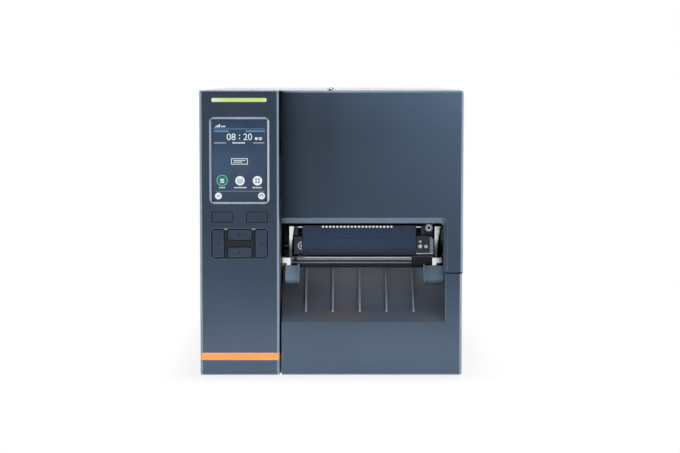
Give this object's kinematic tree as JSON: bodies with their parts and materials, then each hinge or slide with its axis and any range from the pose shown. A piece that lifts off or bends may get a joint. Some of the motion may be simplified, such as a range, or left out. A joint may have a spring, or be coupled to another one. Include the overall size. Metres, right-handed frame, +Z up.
{
  "type": "industrial label printer",
  "caption": "Counter-top thermal label printer with a hinged side door, colour display, key pad, print unit, ribbon and label spindles and a front label chute.",
  "frame": {"origin": "middle of the footprint on the table", "axes": "+X to the right seen from the front, +Y to the back, +Z up"},
  "size_m": [0.248, 0.4373, 0.274],
  "materials": {
    "cover_paint": "fine-textured slate blue powder coat",
    "front_plastic": "fine-grained moulded plastic",
    "key_plastic": "fine-grained moulded plastic",
    "band_orange": "satin moulded plastic",
    "light_lime": "translucent light guide",
    "ring_metal": "anodised, satin",
    "display_glass": "clear, glossy",
    "window_smoke": "smoked, clear",
    "tray_steel": "zinc plated",
    "bright_steel": "ground and nickel plated",
    "cast_alloy": "die cast, bead blasted",
    "rubber": "ground",
    "gear_nylon": "moulded nylon",
    "pinion_brass": "cut",
    "head_blue": "satin moulded plastic",
    "carriage_black": "black die cast",
    "lever_green": "moulded",
    "spindle_black": "moulded",
    "board_green": "solder mask",
    "motor_black": "black oxide",
    "socket_black": "moulded",
    "guide_satin": "satin blue anodised"
  },
  "bodies": {
    "chassis": {"control_bezel": "front_plastic", "accent_band": "band_orange", "status_light": "light_lime", "display_frame": "ring_metal", "display_glass": "display_glass", "display_panel": "tray_steel", "keypad_board": "board_green", "base_tray": "cast_alloy", "feet": "rubber", "centre_wall": "cast_alloy", "left_cover": "cover_paint", "lower_side_panel": "cover_paint", "lower_front_panel": "front_plastic", "rear_panel": "cover_paint", "case_screws": "bright_steel", "fixed_hinge_leaf": "bright_steel", "side_plates": "tray_steel", "label_deck": "cast_alloy", "wall_spacers": "bright_steel", "tear_bar": "bright_steel", "platen_latches": "bright_steel", "chute_guides": "guide_satin", "motor_bracket": "tray_steel", "feed_motor": "motor_black", "shaft_bearings": "pinion_brass", "frame_rods": "bright_steel", "media_sensor": "socket_black", "ribbon_drives": "motor_black", "label_spindle": "spindle_black", "power_supply": "tray_steel", "main_board": "board_green", "mains_inlet": "socket_black", "data_ports": "socket_black"},
    "door": {"door_shell": "cover_paint", "door_window": "window_smoke", "door_hinge_leaf": "bright_steel"},
    "head": {"head_carriage": "carriage_black", "print_head": "cast_alloy", "head_cover": "head_blue", "ribbon_bar": "bright_steel"},
    "knob": {"pressure_knob": "bright_steel"},
    "lever": {"head_lever": "lever_green", "cam_shaft": "bright_steel"},
    "platen": {"platen_shaft": "bright_steel", "platen_rubber": "rubber", "platen_gear": "gear_nylon"},
    "idler": {"idler_gear": "gear_nylon"},
    "pinion": {"motor_pinion": "pinion_brass"},
    "ribbon_supply": {"supply_spindle": "spindle_black"},
    "ribbon_rewind": {"rewind_spindle": "spindle_black"},
    "guard": {"label_guard": "lever_green"},
    "edge_guide": {"media_guide": "spindle_black"},
    "damper": {"media_damper": "tray_steel"},
    "left_soft_key": {"soft_key_left": "key_plastic"},
    "right_soft_key": {"soft_key_right": "key_plastic"},
    "left_key": {"key_left": "key_plastic"},
    "right_key": {"key_right": "key_plastic"},
    "up_key": {"key_up": "key_plastic"},
    "down_key": {"key_down": "key_plastic"},
    "rocker": {"power_rocker": "socket_black"}
  },
  "joints": [
    {"name": "door_hinge", "type": "hinge", "parent": "chassis", "child": "door", "pos_m": [-0.0013, 0, 0.2718], "axis": [0, -1, 0], "range_deg": [0, 95]},
    {"name": "head_pivot", "type": "hinge", "parent": "chassis", "child": "head", "pos_m": [0, -0.08, 0.131], "axis": [-1, 0, 0], "range_deg": [0, 24]},
    {"name": "lever_turn", "type": "hinge", "parent": "chassis", "child": "lever", "pos_m": [0, -0.112, 0.1155], "axis": [-1, 0, 0], "range_deg": [0, 84]},
    {"name": "knob_turn", "type": "hinge", "parent": "head", "child": "knob", "pos_m": [0.0943, -0.155, 0.1393], "axis": [0, 1, 0], "continuous": true},
    {"name": "platen_spin", "type": "hinge", "parent": "chassis", "child": "platen", "pos_m": [0, -0.146, 0.103], "axis": [1, 0, 0], "continuous": true},
    {"name": "idler_spin", "type": "hinge", "parent": "chassis", "child": "idler", "pos_m": [0, -0.12722, 0.06768], "axis": [1, 0, 0], "continuous": true},
    {"name": "motor_spin", "type": "hinge", "parent": "chassis", "child": "pinion", "pos_m": [0, -0.09598, 0.05872], "axis": [1, 0, 0], "continuous": true},
    {"name": "ribbon_supply_spin", "type": "hinge", "parent": "chassis", "child": "ribbon_supply", "pos_m": [0, -0.032, 0.20064], "axis": [1, 0, 0], "continuous": true},
    {"name": "ribbon_rewind_spin", "type": "hinge", "parent": "chassis", "child": "ribbon_rewind", "pos_m": [0, -0.115, 0.21265], "axis": [1, 0, 0], "continuous": true},
    {"name": "guard_slide", "type": "slide", "parent": "chassis", "child": "guard", "axis": [1, 0, 0], "range_m": [-0.095, 0.015]},
    {"name": "edge_guide_slide", "type": "slide", "parent": "chassis", "child": "edge_guide", "axis": [1, 0, 0], "range_m": [-0.06, 0.005]},
    {"name": "damper_swing", "type": "hinge", "parent": "chassis", "child": "damper", "pos_m": [0, -0.064, 0.09], "axis": [-1, 0, 0], "range_deg": [0, 25], "stiffness_Nm_per_rad": 0.2, "springref_deg": -20.05},
    {"name": "left_soft_key_press", "type": "slide", "parent": "chassis", "child": "left_soft_key", "axis": [0, 1, 0], "range_m": [0, 0.001], "stiffness_N_per_m": 400, "springref_m": -0.001},
    {"name": "right_soft_key_press", "type": "slide", "parent": "chassis", "child": "right_soft_key", "axis": [0, 1, 0], "range_m": [0, 0.001], "stiffness_N_per_m": 400, "springref_m": -0.001},
    {"name": "left_key_press", "type": "slide", "parent": "chassis", "child": "left_key", "axis": [0, 1, 0], "range_m": [0, 0.001], "stiffness_N_per_m": 400, "springref_m": -0.001},
    {"name": "right_key_press", "type": "slide", "parent": "chassis", "child": "right_key", "axis": [0, 1, 0], "range_m": [0, 0.001], "stiffness_N_per_m": 400, "springref_m": -0.001},
    {"name": "up_key_press", "type": "slide", "parent": "chassis", "child": "up_key", "axis": [0, 1, 0], "range_m": [0, 0.001], "stiffness_N_per_m": 400, "springref_m": -0.001},
    {"name": "down_key_press", "type": "slide", "parent": "chassis", "child": "down_key", "axis": [0, 1, 0], "range_m": [0, 0.001], "stiffness_N_per_m": 400, "springref_m": -0.001},
    {"name": "rocker_tilt", "type": "hinge", "parent": "chassis", "child": "rocker", "pos_m": [-0.09595, 0.214, 0.087], "axis": [1, 0, 0], "range_deg": [0, 20]}
  ],
  "couplings": [
    {"joint": "lever_turn", "follows": "head_pivot", "ratio": 3.5},
    {"joint": "idler_spin", "follows": "platen_spin", "ratio": -0.77778},
    {"joint": "motor_spin", "follows": "platen_spin", "ratio": 1.75}
  ]
}
